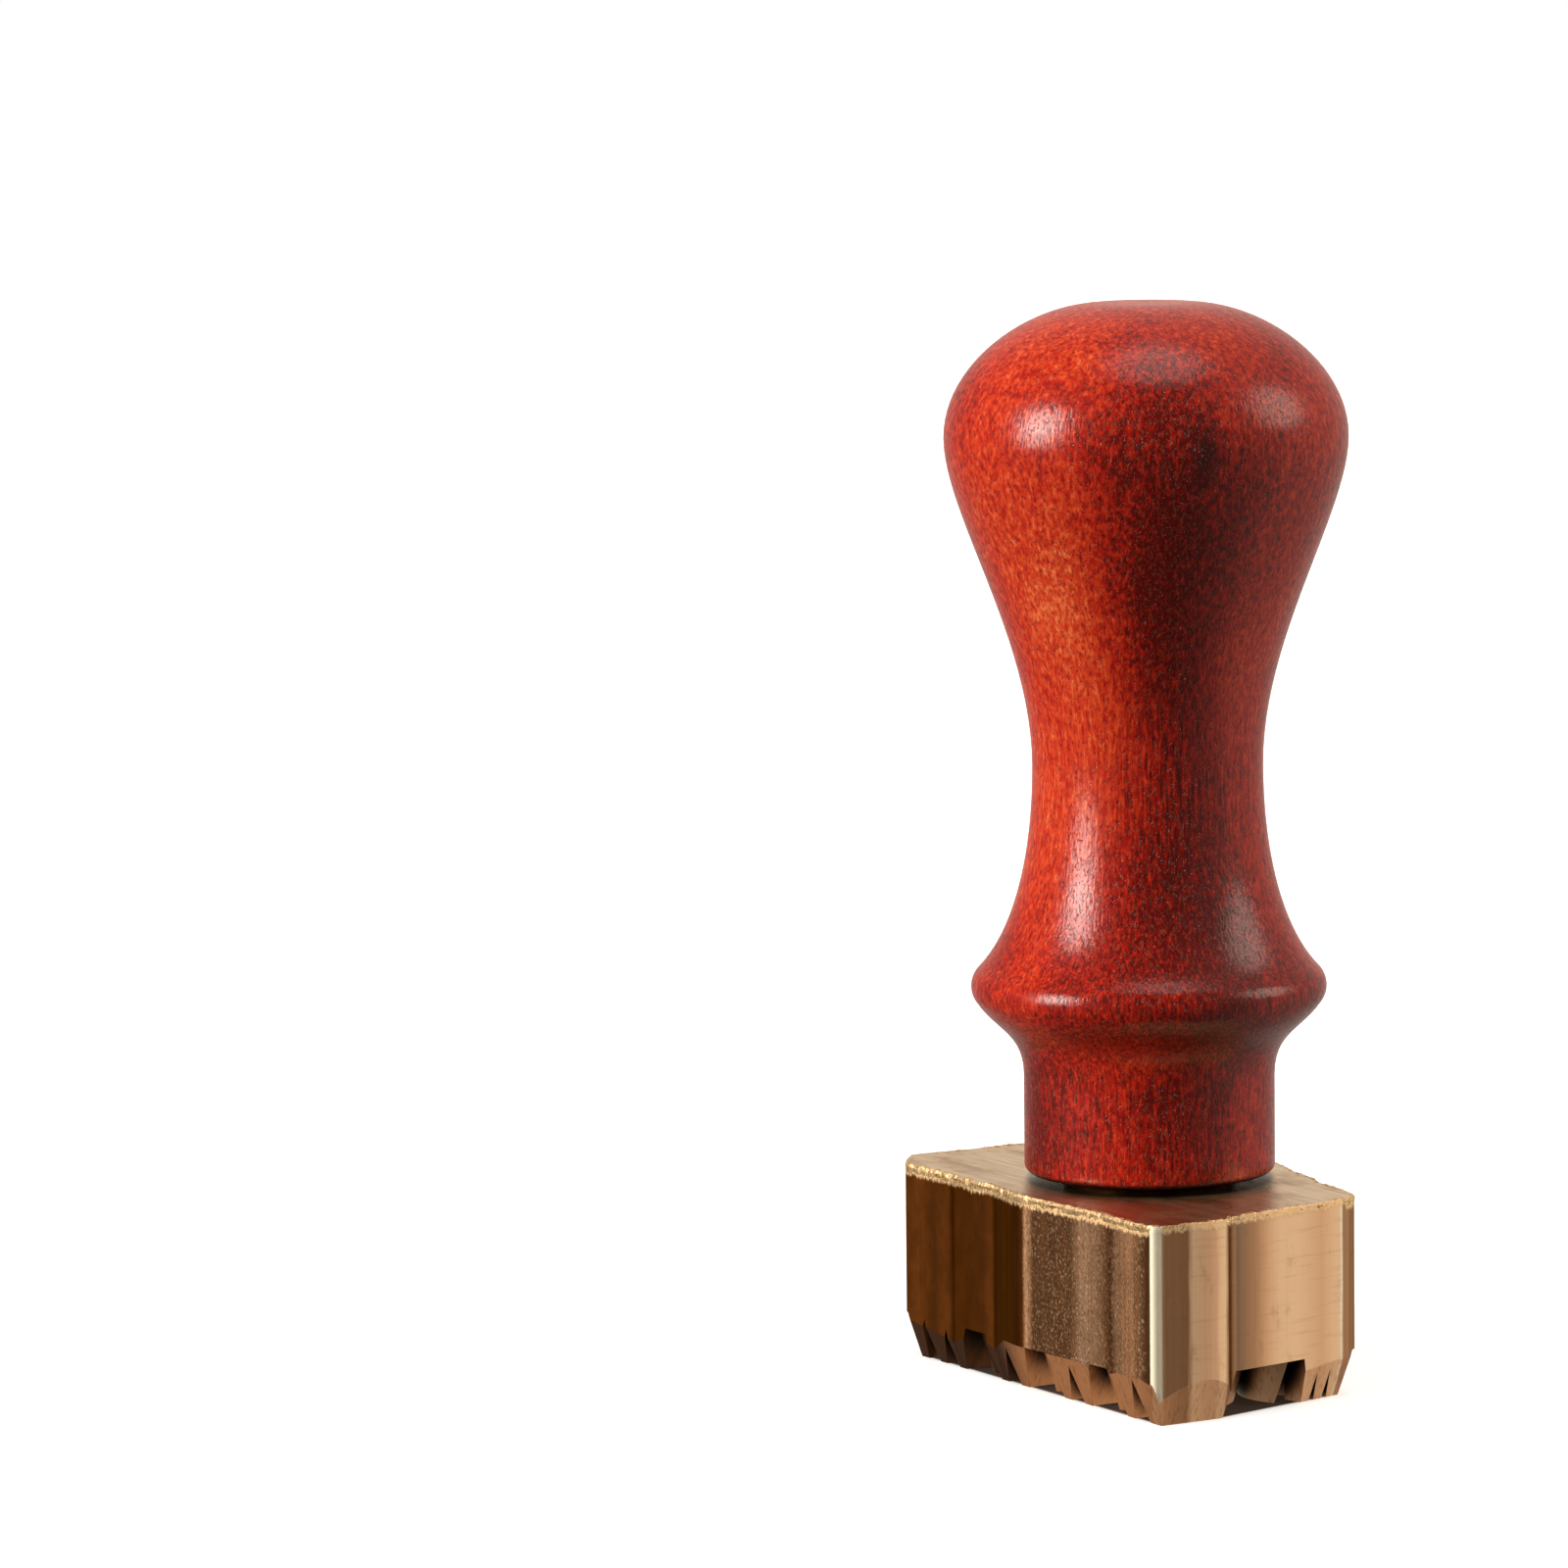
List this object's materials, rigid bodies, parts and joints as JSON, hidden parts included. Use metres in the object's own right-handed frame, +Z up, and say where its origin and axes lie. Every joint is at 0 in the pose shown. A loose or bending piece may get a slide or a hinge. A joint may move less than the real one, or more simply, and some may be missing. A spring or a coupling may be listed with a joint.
{
  "type": "clay stamp",
  "caption": "Clay stamp: a turned wooden palm handle screwed onto a milled brass die with a drafted ornamental relief on its underside.",
  "frame": {"origin": "bottom centre of the object, where the axis of the handle meets the plane of the stamping face", "axes": "+Z up along the handle's axis, +X along the die's long side, +Y across the die, away from its straight front wall"},
  "size_m": [0.0441, 0.035, 0.0938],
  "materials": {
    "stained_hardwood": "satin varnish over a red stain",
    "insert_brass": "turned",
    "stud_steel": "zinc-plated thread",
    "die_brass": "milled, slightly tarnished"
  },
  "bodies": {
    "die": {"die_block": "die_brass"},
    "stud": {"stud": "stud_steel"},
    "grip": {"handle": "stained_hardwood", "threaded_insert": "insert_brass"}
  },
  "joints": [
    {"name": "handle_turn", "type": "hinge", "parent": "die", "child": "stud", "pos_m": [0, 0, 0.0173], "axis": [0, 0, 1], "range_deg": [0, 2880]},
    {"name": "handle_lift", "type": "slide", "parent": "stud", "child": "grip", "axis": [0, 0, 1], "range_m": [0, 0.01]}
  ],
  "couplings": [
    {"joint": "handle_lift", "follows": "handle_turn", "m_per_rad": 0.00019894}
  ]
}
